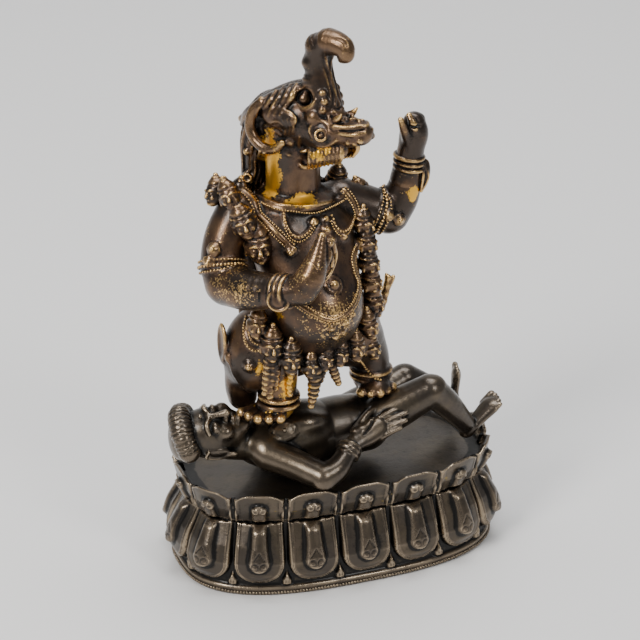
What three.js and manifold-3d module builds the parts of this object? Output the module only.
// A small cast bronze in millimetres: a double lotus plinth, a figure lying on it, and a short
// pot-bellied deity with an animal head that stands on that figure. +Z is up, the plinth rests on
// z = 0 with its middle at the origin, its front faces -Y, and the lying head is at the -X end.
import * as THREE from "three";
import { SimplifyModifier } from "three/addons/modifiers/SimplifyModifier.js";
import { mergeVertices } from "three/addons/utils/BufferGeometryUtils.js";
import Module from "manifold-3d";

// Plinth: an oval of 16 petals in two rows back to back
const PETALS = 16;
const COLUMNS_PER_PETAL = 6;
const OVAL_HALF_LENGTH = 54.1;
const OVAL_HALF_WIDTH = 31.8;
const OVAL_POWER = 2.667; // 2 is an ellipse, more is squarer
const PLATFORM_Z = 31;
const RIM_Z = 36;
const END_FLARE = 1; // how much further the lower petals swell at the two ends

// Gap left where two castings touch
const GAP = 0.35;

// Corners closer than this become one where facets are merged
const WELD = 1e-3;
const BEAD_RADIUS = 0.35;

// Facets kept in each figure
const DEITY_FACETS = 4900;
const LYING_FACETS = 2000;

// Lying figure
const CHEST_TOP_Z = 55;
const LYING_HEAD = [-43.5, -5.5, 50.8];

// Deity
const SOLE_Z = 56;
const BODY_X = -12.5;
const NECK_TOP = [-13.2, 1, 152]; // origin of the head's own frame
const HEAD_YAW = THREE.MathUtils.degToRad(30); // turned to the figure's left
const HEAD_RADIUS = 3.3; // of one severed head on the garland

const wasm = await Module();
wasm.setup();

// The corners of a geometry merged where they lie closer than the tolerance, and its faces between
// them without the ones that this flattens.
function weld(geometry, tolerance) {
  const bare = new THREE.BufferGeometry().setAttribute("position", geometry.getAttribute("position"));
  bare.setIndex(geometry.getIndex());
  const merged = mergeVertices(bare, tolerance);
  const faces = [];
  const index = merged.getIndex().array;
  for (let i = 0; i < index.length; i += 3) {
    const [a, b, c] = [index[i], index[i + 1], index[i + 2]];
    if (a !== b && b !== c && c !== a) {
      faces.push(a, b, c);
    }
  }
  return { places: merged.getAttribute("position").array, faces };
}

// A closed three.js geometry as a solid.
function solid(geometry, tolerance = 1e-4) {
  const { places, faces } = weld(geometry, tolerance);
  return new wasm.Manifold(new wasm.Mesh({ numProp: 3, vertProperties: places, triVerts: Uint32Array.from(faces) }));
}

// All the solids of a list joined into one.
function join(solids) {
  return solids.reduce((all, one) => all.add(one));
}

// An ellipsoid. turn is [x, y, z] in degrees, applied in that order.
function blob(centre, radii, turn = [0, 0, 0], across = 8, down = 6) {
  const ball = new THREE.SphereGeometry(1, across, down);
  ball.rotateX(Math.PI / 2);
  ball.scale(...radii);
  const angles = turn.map(THREE.MathUtils.degToRad);
  ball.applyMatrix4(new THREE.Matrix4().makeRotationFromEuler(new THREE.Euler(...angles, "ZYX")));
  ball.translate(...centre);
  return solid(ball);
}

// A round limb through points [x, y, z, radius], with domed ends. squash flattens it from top to
// bottom, or from front to back where it stands upright.
function limb(points, sides = 8, squash = 1) {
  const places = points.map(([x, y, z]) => new THREE.Vector3(x, y, z));
  const along = places.map((_, i) => {
    const before = places[Math.max(i - 1, 0)];
    const after = places[Math.min(i + 1, places.length - 1)];
    return after.clone().sub(before).normalize();
  });
  const upright = Math.abs(along[0].z) > 0.9;
  const up = upright ? new THREE.Vector3(0, -1, 0) : new THREE.Vector3(0, 0, 1);
  const rings = [];
  const ring = (centre, radius, direction) => {
    up.addScaledVector(direction, -up.dot(direction)).normalize();
    const across = up.clone().cross(direction);
    rings.push(
      Array.from({ length: sides }, (_, k) => {
        const angle = (2 * Math.PI * k) / sides;
        return centre
          .clone()
          .addScaledVector(across, radius * Math.cos(angle))
          .addScaledVector(up, radius * squash * Math.sin(angle));
      }),
    );
  };
  const last = points.length - 1;
  ring(places[0].clone().addScaledVector(along[0], -0.55 * points[0][3]), 0.7 * points[0][3], along[0]);
  points.forEach((point, i) => ring(places[i], point[3], along[i]));
  ring(places[last].clone().addScaledVector(along[last], 0.55 * points[last][3]), 0.7 * points[last][3], along[last]);
  const tips = [
    places[0].clone().addScaledVector(along[0], -0.85 * points[0][3]),
    places[last].clone().addScaledVector(along[last], 0.85 * points[last][3]),
  ];
  return solid(skin(rings, tips));
}

// The closed skin over rings of equal length, from the first tip to the last.
function skin(rings, [start, end]) {
  const sides = rings[0].length;
  const corners = [...rings.flat(), start, end];
  const faces = [];
  const startAt = corners.length - 2;
  const endAt = corners.length - 1;
  for (let k = 0; k < sides; k++) {
    const next = (k + 1) % sides;
    faces.push(startAt, next, k);
    for (let i = 0; i < rings.length - 1; i++) {
      const a = i * sides + k;
      const b = i * sides + next;
      faces.push(a, b, b + sides, a, b + sides, a + sides);
    }
    const top = (rings.length - 1) * sides;
    faces.push(endAt, top + k, top + next);
  }
  const geometry = new THREE.BufferGeometry();
  geometry.setAttribute("position", new THREE.Float32BufferAttribute(corners.flatMap((p) => [p.x, p.y, p.z]), 3));
  geometry.setIndex(faces);
  return geometry;
}

// A trunk of level oval rings: [x, y, z, half width, half depth].
function trunkOf(levels, sides) {
  const rings = levels.map(([x, y, z, halfWidth, halfDepth]) =>
    Array.from({ length: sides }, (_, k) => {
      const angle = (2 * Math.PI * k) / sides;
      return new THREE.Vector3(x + halfWidth * Math.cos(angle), y + halfDepth * Math.sin(angle), z);
    }),
  );
  const [first, last] = [levels[0], levels[levels.length - 1]];
  const tips = [
    new THREE.Vector3(first[0], first[1], first[2] - 0.3 * first[3]),
    new THREE.Vector3(last[0], last[1], last[2] + 0.1 * last[3]),
  ];
  return solid(skin(rings, tips));
}

// Evenly spaced places on a smooth curve through points.
function along(points, count) {
  const curve = new THREE.CatmullRomCurve3(points.map((p) => new THREE.Vector3(...p)), false, "centripetal");
  return curve.getSpacedPoints(count - 1).map((p) => [p.x, p.y, p.z]);
}

// A thin raised band that follows points.
function band(points, radius, steps = 10, sides = 5) {
  return limb(along(points, steps).map((p) => [...p, radius]), sides);
}

// The plinth's outline: a point at a share of the way round, pushed out by offset.
function makeOval() {
  const steps = 1440;
  const at = (angle) => {
    const c = Math.cos(angle);
    const s = Math.sin(angle);
    return [
      OVAL_HALF_LENGTH * Math.sign(c) * Math.abs(c) ** (2 / OVAL_POWER),
      OVAL_HALF_WIDTH * Math.sign(s) * Math.abs(s) ** (2 / OVAL_POWER),
    ];
  };
  const lengths = [0];
  const points = [at(-Math.PI / 2)];
  for (let i = 1; i <= steps; i++) {
    points.push(at(-Math.PI / 2 + (2 * Math.PI * i) / steps));
    lengths.push(lengths[i - 1] + Math.hypot(points[i][0] - points[i - 1][0], points[i][1] - points[i - 1][1]));
  }
  return (share, offset) => {
    const wanted = (((share % 1) + 1) % 1) * lengths[steps];
    let i = 1;
    while (lengths[i] < wanted) i++;
    const part = (wanted - lengths[i - 1]) / (lengths[i] - lengths[i - 1]);
    const x = points[i - 1][0] + part * (points[i][0] - points[i - 1][0]);
    const y = points[i - 1][1] + part * (points[i][1] - points[i - 1][1]);
    const normalX = Math.sign(x) * (Math.abs(x) / OVAL_HALF_LENGTH) ** (OVAL_POWER - 1) / OVAL_HALF_LENGTH;
    const normalY = Math.sign(y) * (Math.abs(y) / OVAL_HALF_WIDTH) ** (OVAL_POWER - 1) / OVAL_HALF_WIDTH;
    const size = Math.hypot(normalX, normalY);
    return [x + (offset * normalX) / size, y + (offset * normalY) / size];
  };
}

// One double lotus ring on a low foot. Each row is [height, push out] at the middle of a petal,
// on the edge of its raised tongue, and in the valley between two petals.
function makePlinth() {
  const rows = [
    { middle: [0, 0], tongue: [0, 0], valley: [0, 0] },
    { middle: [3, 0], tongue: [3, 0], valley: [3, 0] },
    { middle: [4.2, -1.2], tongue: [4.2, -1.2], valley: [4.4, -1.4] },
    { middle: [4.8, 0.9], tongue: [5.6, 0.4], valley: [6.6, -1.2] },
    { middle: [8, 1.8], tongue: [8.4, 0.9], valley: [9, -1.2], flare: 1 },
    { middle: [12, 2.3], tongue: [12, 0.5], valley: [12, -1.8], flare: 1 },
    { middle: [17.5, 1.2], tongue: [17.5, -1.2], valley: [17.5, -3.2], flare: 0.7 },
    { middle: [23, -2.4], tongue: [23, -3.4], valley: [23, -4.6] },
    { middle: [25.2, -3.2], tongue: [25.2, -3.9], valley: [25.2, -4.4] },
    { middle: [30, -1.0], tongue: [30, -2.2], valley: [29.5, -3] },
    { middle: [RIM_Z, -0.7], tongue: [RIM_Z - 0.4, -0.9], valley: [RIM_Z - 2.2, -1.8] },
    { middle: [RIM_Z - 0.2, -2.4], tongue: [RIM_Z - 0.6, -2.6], valley: [RIM_Z - 2.4, -3.2] },
    { middle: [PLATFORM_Z, -4], tongue: [PLATFORM_Z, -4], valley: [PLATFORM_Z, -4.2] },
  ];
  const oval = makeOval();
  const half = COLUMNS_PER_PETAL / 2;
  const columns = PETALS * COLUMNS_PER_PETAL;
  const tongueShare = 0.42;
  const rings = rows.map((row) =>
    Array.from({ length: columns }, (_, column) => {
      const across = ((column + half) % COLUMNS_PER_PETAL) - half;
      const share = Math.abs(across) / half;
      const [from, to, part] =
        share < tongueShare
          ? [row.middle, row.tongue, share / tongueShare]
          : [row.tongue, row.valley, (share - tongueShare) / (1 - tongueShare)];
      const z = from[0] + (to[0] - from[0]) * part;
      const out = from[1] + (to[1] - from[1]) * part;
      const [x, y] = oval(column / columns, out);
      const end = (Math.abs(x) / OVAL_HALF_LENGTH) ** 3;
      return new THREE.Vector3(x + Math.sign(x) * END_FLARE * end * (row.flare ?? 0), y, z);
    }),
  );
  return solid(skin(rings, [new THREE.Vector3(0, 0, 0), new THREE.Vector3(0, 0, PLATFORM_Z)]));
}

// The figure on its back under the deity's feet, left arm hidden, right arm bent round in front.
function makeLyingFigure() {
  const head = [
    blob(LYING_HEAD, [11, 8.8, 9.8], [0, 8, 0], 10, 8),
    blob([-54, -4, 51.6], [4, 8.2, 8.6], [0, -8, 0], 10, 8), // ridged hair roll
    blob([-37.5, -9.5, 57], [2.6, 1.8, 2.2]), // nose
    blob([-34, -9, 51.5], [3, 3, 3]), // chin
    blob([-46.5, -13.5, 45.5], [3, 1.3, 2.2], [20, 0, 20]), // near ear
    limb([[-36, -6, 46.5, 5.5], [-29, -5, 44.5, 6.5]], 8),
  ];
  const chest = limb(
    [[-27, -3, 43, 8], [-20, -3.5, 43.5, 11.2], [-11, -3.5, 43.6, 11.4], [-6, -3, 43.6, 10.4], [3, -2.6, 43.6, 10], [10, -2.6, 42.4, 9]],
    12,
  );
  const pectoral = blob([-19.5, -9, 50.2], [5.2, 4, 2.6], [-30, 0, 0], 10, 4);
  const nearArm = limb(
    [[-26.5, -12.5, 43, 5.6], [-20, -19, 41, 5], [-13.2, -26, 38.6, 4.7], [-8, -25.5, 40.5, 4], [-2.5, -21.5, 44.2, 3.1]],
    8,
  );
  const elbow = blob([-13.5, -28.3, 38.2], [4, 3, 3.2]);
  const bracelet = limb([[-4.2, -22.6, 43.2, 4], [-1.6, -20.6, 44.8, 4]], 8);
  const palm = limb([[0.5, -19.5, 45.6, 3], [5.5, -17.5, 46.6, 4.2], [8.5, -16.5, 47.6, 4]], 8, 0.55);
  const fingers = [0, 1, 2, 3].map((k) =>
    limb([[8, -17.6 + 1.5 * k, 46 + 1.2 * k, 1.2], [18 + 0.4 * k, -17.2 + 1.6 * k, 48.6 + 1.4 * k, 1]], 6),
  );
  const thumb = limb([[1.5, -17, 47.4, 1.7], [8, -11, 49.6, 1.5], [14.5, -8.5, 50.8, 1]], 6);
  const farArm = limb([[-24, 6, 44, 5], [-16, 15, 38.5, 4.5], [-6, 15.5, 36.5, 3.6], [2, 11, 38, 3]], 8);
  const nearLeg = [
    limb([[7, -6, 43, 7.5], [19, -9, 49.5, 6.8], [29.5, -11.5, 55.5, 5.6]], 10),
    limb([[30.5, -11.7, 55.6, 5.2], [37, -11, 48.5, 4.6], [43.4, -10, 40.4, 3.6]], 8),
    foot([45, -9.6, 37.4], [55.2, -7.5, 45.4], 4.2),
  ];
  const farLeg = [
    limb([[7, 4, 43, 7.5], [19, 5, 48, 6.4], [27.5, 6, 52, 5.2]], 10),
    limb([[28.5, 6, 52.4, 5], [38, 6.5, 46.4, 4.2], [45.5, 7, 41, 3.4]], 8),
    foot([47.5, 7.5, 39.6], [48.4, 8.5, 52], 3.2),
  ];
  const loincloth = [
    band([[3.5, -12.5, 40], [4.5, -9, 49], [6.5, -2, 51.8], [7.5, 6, 47.5]], 1.2, 6),
    band([[12, -14, 41.5], [16, -12.5, 51], [17, -7, 55.5]], 1, 5),
    limb([[3, -2, 49.5, 3.2], [10, -2, 49.5, 3.6], [16, -2, 47, 2.6]], 8),
  ];
  const all = join([
    ...head, chest, pectoral, nearArm, elbow, bracelet, palm, ...fingers, thumb, farArm,
    ...nearLeg, ...farLeg, ...loincloth,
  ]);
  const below = new THREE.BoxGeometry(140, 80, 40);
  below.translate(0, 0, PLATFORM_Z + GAP - 20);
  return all.subtract(solid(below));
}

// A foot with its heel at one point and its toes at another.
function foot(heel, toes, halfWidth) {
  const mid = heel.map((v, i) => (v + toes[i]) / 2);
  return limb([[...heel, 0.75 * halfWidth], [...mid, 0.85 * halfWidth], [...toes, halfWidth]], 8, 0.55);
}

// Places a list of points given in the head's frame: side to the figure's left, front, up.
function inHead(side, front, up) {
  return [
    NECK_TOP[0] + side * Math.cos(HEAD_YAW) + front * Math.sin(HEAD_YAW),
    NECK_TOP[1] + side * Math.sin(HEAD_YAW) - front * Math.cos(HEAD_YAW),
    NECK_TOP[2] + up,
  ];
}

const YAW_DEGREES = THREE.MathUtils.radToDeg(HEAD_YAW);
const headBlob = (side, front, up, radii, pitch = 0, across = 8, down = 6) =>
  blob(inHead(side, front, up), radii, [pitch, 0, YAW_DEGREES], across, down);
const headLimb = (points, sides = 6, squash = 1) =>
  limb(points.map(([side, front, up, r]) => [...inHead(side, front, up), r]), sides, squash);

// Animal head: raised trunk curled forward, upturned snout, swept mane, ears, horns and beard.
function makeHead() {
  const skull = [
    headBlob(0, 2, 0.5, [9.6, 12, 9.6], -14, 12, 8),
    headBlob(0, 12, -1, [7.5, 9, 8], 0, 10, 6),
    headBlob(0, -9, -4, [8.5, 7, 8], -25, 10, 6),
  ];
  const trunk = headLimb(
    [
      [0, 12.5, 6, 5.6], [0, 11, 13.5, 4.6], [0, 10.2, 18.5, 4.4], [0, 10.6, 23, 4.1],
      [0, 13, 26.6, 3.9], [0, 16.6, 27.9, 3.4], [0, 20, 27.6, 3.1], [0, 21.5, 25.2, 2.5], [0, 20, 23.6, 1.9],
    ],
    10,
  );
  const snout = [
    headLimb([[0, 15, 1, 6], [0, 22, 2.2, 5], [0, 27.4, 2, 4]], 10, 0.85),
    headLimb([[0, 20, 5, 3], [0, 24.5, 6, 2.2], [0, 25.8, 8, 1]], 8, 0.6),
    headLimb([[0, 15, -4.5, 5], [0, 22, -3.2, 4], [0, 26.8, -1.8, 3.2]], 8, 0.7),
  ];
  const bothSides = [-1, 1].flatMap((s) => [
    headBlob(s * 7, 11.6, 8.2, [3.4, 3.6, 3.6]), // eye
    headLimb([[s * 6.4, 7, 9.4, 1.8], [s * 8.6, 11, 10.4, 1.4], [s * 8.8, 14.4, 8, 1.2]], 6), // brow
    headBlob(s * 7, 15.5, 4.6, [2.6, 3.4, 2.6]), // cheek
    headBlob(s * 6.4, 17.6, -0.4, [2.4, 2.8, 2.8]), // rosette on the jaw
    headLimb([[s * 9.5, 8.5, 4, 2], [s * 10.4, 2, 3.2, 3], [s * 10.2, -4.2, 1.4, 2]], 8, 0.8), // ear
    headBlob(s * 8.6, 6.6, -5.2, [2.2, 2.6, 2.6]), // scroll under the ear
    headLimb(
      [[s * 9.6, -5, 5, 1.6], [s * 11, -8.4, -0.5, 2], [s * 11.2, -6.8, -6.8, 2.1], [s * 10.8, -1.6, -8.6, 2], [s * 10, 3, -6.6, 1.3]],
      6,
    ), // curled horn
    headLimb([[s * 5, 17, -5.4, 2], [s * 4.6, 12.5, -8.2, 2.2], [s * 5.4, 8.5, -7.2, 1.8]], 6), // beard curls
  ]);
  const mane = [
    headLimb([[0, 5.4, 9, 3], [0, -2, 5.4, 4.4], [0, -9, 0, 4.8], [0, -15, -4.6, 3], [0, -19, -6.2, 1]], 8, 1.2),
    headLimb([[-2, -12.6, -7, 4.4], [-3, -13.6, -14, 3.8], [-3.4, -13.6, -21, 3.2], [-4.4, -14.8, -25.6, 2.8]], 8),
    headLimb([[4, -12.6, -7, 4.2], [5, -12.4, -14, 3.4], [5, -12, -21, 2.6]], 8),
  ];
  const beard = headLimb([[0, 18.5, -7, 2.6], [0, 15, -9.6, 3], [0, 11.2, -12.4, 2.6]], 8);
  return [...skull, trunk, ...snout, ...bothSides, ...mane, beard];
}

// One severed head of the garland: a ball with a small crest of hair.
function garlandHead([x, y, z], size = 1) {
  const r = HEAD_RADIUS * size;
  return blob([x, y, z], [r, r, 1.15 * r], [0, 0, 0], 8, 6);
}

// The garland: from the right shoulder down behind the forearm, under the belly and up the left side.
function makeGarland() {
  const shoulder = [[-37.8, 3, 128.6, 1], [-35.6, -3.6, 128.6, 1.05], [-32.4, -8.4, 121.6, 1.25], [-28.2, -9.6, 114.8, 1.35]];
  const hip = along([[-31.4, -13, 89.4], [-27.4, -16.6, 82.6], [-21.6, -18.6, 78], [-14, -19, 75], [-6.5, -18, 75.6], [0.4, -15.8, 77.4]], 7);
  const side = along([[0.4, -16.4, 77.8], [6.4, -12.6, 83], [9, -9.6, 90.5], [8.8, -8.6, 99], [8, -8, 108], [7.6, -7, 117.5]], 8).slice(1);
  const leftShoulder = along([[11.4, 0, 122.6], [8.6, 2.4, 125.6], [3, 5.6, 127], [-4, 10, 124], [-16, 13, 121], [-27, 10, 123], [-34, 7, 127]], 8);
  const right = along([[-31, -9, 108.4], [-29, -11, 101], [-30.6, -12.6, 95]], 3);
  return [
    band(hip, 1.4, 8),
    band(side, 1.4, 8),
    ...shoulder.map(([x, y, z, size]) => garlandHead([x, y, z], size)),
    ...hip.map((p) => garlandHead(p, 1.05)),
    ...side.map((p) => garlandHead(p, 1)),
    ...leftShoulder.map((p) => garlandHead(p, 1.05)),
    ...right.map((p) => garlandHead(p, 0.95)),
  ];
}

function makeTorso() {
  const body = trunkOf(
    [
      [BODY_X + 1, -1.6, 73, 14, 12.6], [BODY_X + 1, -3.4, 78, 15, 15], [BODY_X + 2, -6, 84, 15, 16],
      [BODY_X + 2.4, -7.4, 91, 15.4, 18.4], [BODY_X + 2.2, -7, 98, 15.8, 18.2], [BODY_X + 1.6, -5, 105, 16.2, 16],
      [BODY_X + 0.6, -2.5, 112, 17.6, 14], [BODY_X, -0.5, 119, 18.4, 12.8], [BODY_X - 0.4, 0.6, 124, 15, 11],
      [BODY_X - 0.7, 1, 128, 9.8, 9.2],
    ],
    18,
  );
  const neck = limb([[-13, 1, 122, 8.7], [-13.2, 1, 146, 8.5]], 14);
  const collar = limb([[-12.9, 0.6, 125.4, 11.6], [-13, 0.8, 127.2, 9.6]], 14);
  return [body, neck, collar];
}

// Right arm bent across the belly, its hand upright in front of the chest with thumb and finger joined.
function makeRightArm() {
  const upper = limb([[-31, 1.5, 122.5, 7.4], [-35.5, 0, 115, 7.4], [-38, -2.5, 108, 7], [-38.4, -6, 102, 6.8]], 10);
  const fore = limb([[-38, -8, 102.6, 6.9], [-33.6, -17, 103.6, 6.4], [-27.5, -25.5, 105.6, 5]], 10);
  const cuff = limb([[-27.6, -26, 105.8, 5.6], [-25.4, -28.6, 106.6, 5.4]], 10);
  const hand = limb(
    [[-22, -31.4, 107.6, 4.6], [-19.6, -32.6, 112, 4.6], [-17.2, -32, 118, 3.2], [-15.2, -30.8, 124, 1.5]],
    8,
  );
  const ring = limb(
    [[-18.4, -32.4, 108.4, 1.4], [-14.2, -32, 110.6, 1.1], [-12.2, -30.8, 114.4, 1], [-12.4, -30.4, 118.6, 1.1], [-14.8, -30.8, 121, 1.2]],
    6,
  );
  const armlets = [
    band([[-44.2, 2, 107.6], [-43, -5.4, 106.6], [-37.5, -9.4, 106.6], [-32, -6.5, 108]], 1.2, 7),
    band([[-44, 2, 110.4], [-42.8, -5, 109.4], [-37.3, -8.8, 109.4], [-32, -6, 110.8]], 1, 7),
    blob([-41.6, -4, 114.6], [2.4, 2.4, 3]),
    blob([-42.6, -4.4, 111], [2, 2, 2.4]),
  ];
  const disc = blob([-29.4, -30.2, 105], [3.6, 1.8, 3.6], [0, 0, -35], 10, 4);
  return [upper, fore, cuff, hand, ring, ...armlets, disc];
}

// Left arm held out and bent up, its fingers lost at the knuckles.
function makeLeftArm() {
  const upper = limb([[3, 1, 122, 7.4], [11, 0, 119, 7.2], [17.6, -2, 116.2, 6.6]], 10);
  const fore = limb([[18.6, -2.6, 116.2, 6.4], [22, -3.4, 122.6, 5.8], [23.6, -4, 130, 4.9], [24.4, -4.6, 137, 4.4]], 10);
  const hand = limb([[24.4, -4.8, 139, 4.3], [25.2, -5.2, 143.6, 4.8], [25.2, -5.6, 147.6, 3.6]], 8, 0.8);
  const fingers = [0, 1, 2].map((k) =>
    limb([[24.6 + 1.4 * k, -7 + 1.4 * k, 147, 1.6], [22.6 + 2 * k, -7.6 + 1.2 * k, 150.2 - 0.6 * k, 1.4]], 6),
  );
  const thumb = limb([[23, -7, 143, 2], [20.4, -8.6, 147, 1.5], [19, -9, 150.4, 1.1]], 6);
  const cuff = [
    limb([[23.9, -4, 133.2, 5.5], [24.3, -4.3, 135.4, 5.4]], 10),
    blob([27.6, -6, 128.6], [3, 2.6, 5.6], [0, 12, 0]), // leaf plate below the bracelet
  ];
  const armlet = [
    limb([[14, -1, 117.6, 7.9], [15.6, -1.4, 117, 7.8]], 10),
    blob([15.4, -8.6, 117.4], [2.4, 2, 2.4]),
    blob([19.4, -8.8, 115.4], [2.2, 2, 2.2]),
  ];
  return [upper, fore, hand, ...fingers, thumb, ...cuff, ...armlet];
}

function makeLegs() {
  const rightThigh = blob([-27, -3.6, 77], [11.4, 11.4, 14.5], [0, 14, 0], 12, 8);
  const rightShin = limb([[-23.5, -10, 82, 6.6], [-22.6, -11, 73, 6.2], [-22.4, -10.4, 63.5, 5.8], [-22.4, -9.4, 58.5, 5.6]], 10);
  const rightCalf = limb([[-31, -1, 70, 6.4], [-31.5, 0, 63, 5.4], [-31, 1, 58.6, 4.8]], 8);
  const leftThigh = blob([4, -2, 78], [11.5, 11, 13], [0, -16, 0], 12, 8);
  const leftShin = limb([[9.5, -3, 74, 7], [12.4, -2.4, 66, 6.4], [12.6, -2, 59.5, 6]], 10);
  const anklets = [
    limb([[-22.4, -10.4, 61.6, 7], [-22.4, -10.2, 59.6, 7.2]], 10),
    limb([[12.6, -2.2, 61.8, 7.2], [12.6, -2.2, 60, 7.2]], 10),
  ];
  const toes = [
    ...along([[-34.4, -9, 57.6], [-31.4, -15, 57.6], [-24.6, -18.2, 57.8]], 5),
    ...along([[6.6, -9, 57.6], [12, -11.4, 57.6], [17.6, -8.4, 57.6]], 5),
  ].map((p) => blob(p, [1.9, 2.4, 1.7], [0, 0, 0], 6, 4));
  const feet = [
    limb([[-22.4, -8, 58.4, 5], [-27.6, -12, 58.4, 5.4]], 8, 0.6),
    limb([[12.4, -1.4, 58.4, 5.2], [12.2, -7, 58.4, 5.4]], 8, 0.6),
  ];
  const hem = band([[-37, 2, 67], [-36.4, -8, 67], [-31, -13.6, 65], [-26, -14.6, 62.4]], 0.9, 7);
  const plate = [blob([-38.2, -2, 79.6], [1.6, 4, 7.4]), blob([-37.4, -6, 76.4], [1.8, 2.4, 2.4])];
  const tassels = [
    limb([[-13.6, -19.6, 75, 3], [-13.6, -19, 66, 2.2], [-14.4, -18.6, 61.4, 1.1]], 7),
    limb([[-6.6, -17, 74, 1.8], [-4.6, -16.6, 67, 1.3]], 6),
    limb([[-27.6, -16, 80, 2.6], [-28, -15.6, 72, 2.4], [-27.6, -15.6, 65.6, 1.8]], 7),
  ];
  return [rightThigh, rightShin, rightCalf, leftThigh, leftShin, ...anklets, ...toes, ...feet, hem, ...plate, ...tassels];
}

// Hide worn down the back, with one forked paw standing out at the figure's left.
function makeHide() {
  const back = trunkOf(
    [[-14.6, 7.4, 60, 9.4, 3], [-13.4, 8, 69, 14.4, 4.6], [-12, 9.4, 84, 17, 5], [-12, 9.6, 100, 18, 4.6], [-12.4, 8, 114, 19, 4.6], [-12.6, 5.6, 124, 17, 4.4]],
    12,
  );
  const paw = [
    limb([[13, 4, 76, 2.4], [17.4, 4.4, 79.6, 1.9], [20, 4.8, 84.6, 1.4], [21.4, 5, 91.6, 1]], 6),
    limb([[20.4, 4.8, 85.6, 1.2], [22.6, 5, 89.6, 1], [23.2, 5.2, 91, 0.9]], 6),
    limb([[18.6, 4.6, 82, 1.1], [18.4, 4.4, 85, 0.8]], 6),
  ];
  return [back, ...paw];
}

// Necklaces and bands over the chest and belly.
function makeJewellery() {
  return [
    band([[-27.4, -2.4, 128], [-22, -11, 121.6], [-13.6, -15.4, 118.4], [-4.6, -14, 119], [2.6, -7.4, 122.4]], 1.1, 10),
    band([[-22.6, -12.4, 116.4], [-20, -14.8, 111.8], [-15.4, -16, 113.4]], 0.9, 6),
    band([[-10.4, -15.8, 113.8], [-6, -16, 111.4], [-1.6, -13.6, 115]], 0.9, 6),
    band([[-30, -4, 127.4], [-26.4, -10.8, 118], [-22.4, -15.4, 109.6], [-20.4, -18, 105.4]], 1.1, 8),
    band([[1.4, -6, 124.4], [3.4, -8.4, 115.6], [3.4, -13, 104.6], [3.4, -16.2, 96], [1.4, -20, 90.4], [-4, -24, 87], [-11.4, -25.6, 88.6], [-19, -22.6, 92.6], [-23.4, -18.6, 97.4]], 1.1, 16),
    blob([-10.4, -23, 103], [2.8, 2.4, 2.8], [0, 0, 0], 10, 4),
    ...[[-12.6, -15.4, 117], [-9.4, -15.2, 117], [-9.6, -16.2, 113.6], [-8.8, -17, 110], [-3.4, -23.8, 86.4], [-6.4, -23, 85]]
      .map((p) => blob(p, [1.6, 1.6, 1.6], [0, 0, 0], 6, 4)),
  ];
}

function makeDeity() {
  const all = join([
    ...makeTorso(), ...makeHead(), ...makeRightArm(), ...makeLeftArm(), ...makeLegs(),
    ...makeHide(), ...makeGarland(), ...makeJewellery(),
  ]);
  const below = new THREE.BoxGeometry(140, 80, 20);
  below.translate(0, 0, SOLE_Z - 10);
  return all.subtract(solid(below));
}

// The same solid with its smallest facets merged, down to about the number wanted. Where the skin
// then touches itself along an edge, a bead of metal closes the touch.
async function lighten(made, facets) {
  const full = geometryOf(made);
  const corners = full.getAttribute("position").count;
  const light = await new SimplifyModifier().modify(full, Math.floor(corners * (1 - facets / made.numTri())));
  let mended = solid(light, WELD);
  for (let edges = touchingEdges(mended); edges.length > 0; edges = touchingEdges(mended)) {
    mended = join([mended, ...edges.map((ends) => limb(ends.map((end) => [...end, BEAD_RADIUS]), 5))]);
  }
  return mended;
}

// The ends of every edge that more than two faces share.
function touchingEdges(made) {
  const { places, faces } = weld(geometryOf(made), WELD);
  const uses = new Map();
  faces.forEach((from, i) => {
    const to = faces[i % 3 === 2 ? i - 2 : i + 1];
    const edge = Math.min(from, to) + " " + Math.max(from, to);
    uses.set(edge, (uses.get(edge) ?? 0) + 1);
  });
  return [...uses]
    .filter(([, count]) => count > 2)
    .map(([edge]) => edge.split(" ").map((corner) => [...places.slice(3 * corner, 3 * corner + 3)]));
}

// A solid's skin as a three.js geometry.
function geometryOf(made) {
  const { vertProperties, triVerts } = made.getMesh();
  const geometry = new THREE.BufferGeometry();
  geometry.setAttribute("position", new THREE.BufferAttribute(vertProperties, 3));
  geometry.setIndex(new THREE.BufferAttribute(triVerts, 1));
  return geometry;
}

// A solid as a named mesh.
function meshOf(name, made, colour, roughness, metalness) {
  const geometry = geometryOf(made);
  geometry.computeVertexNormals();
  const mesh = new THREE.Mesh(geometry, new THREE.MeshStandardMaterial({ color: colour, roughness, metalness }));
  mesh.name = name;
  return mesh;
}

const plinth = makePlinth();
const deity = await lighten(makeDeity(), DEITY_FACETS);
const touching = [-GAP, 0, GAP].map((lift) => deity.translate([0, 0, lift]));
const lying = [...touching, plinth.translate([0, 0, GAP])].reduce(
  (left, cutter) => left.subtract(cutter),
  await lighten(makeLyingFigure(), LYING_FACETS),
);

const bronze = new THREE.Group();
bronze.name = "lotus_bronze";
bronze.add(meshOf("lotus_plinth", plinth, 0x4a4034, 0.5, 0.9));
bronze.add(meshOf("trampled_figure", lying, 0x4a4038, 0.45, 0.9));
bronze.add(meshOf("deity_figure", deity, 0x6a4c30, 0.4, 0.9));

export default bronze;
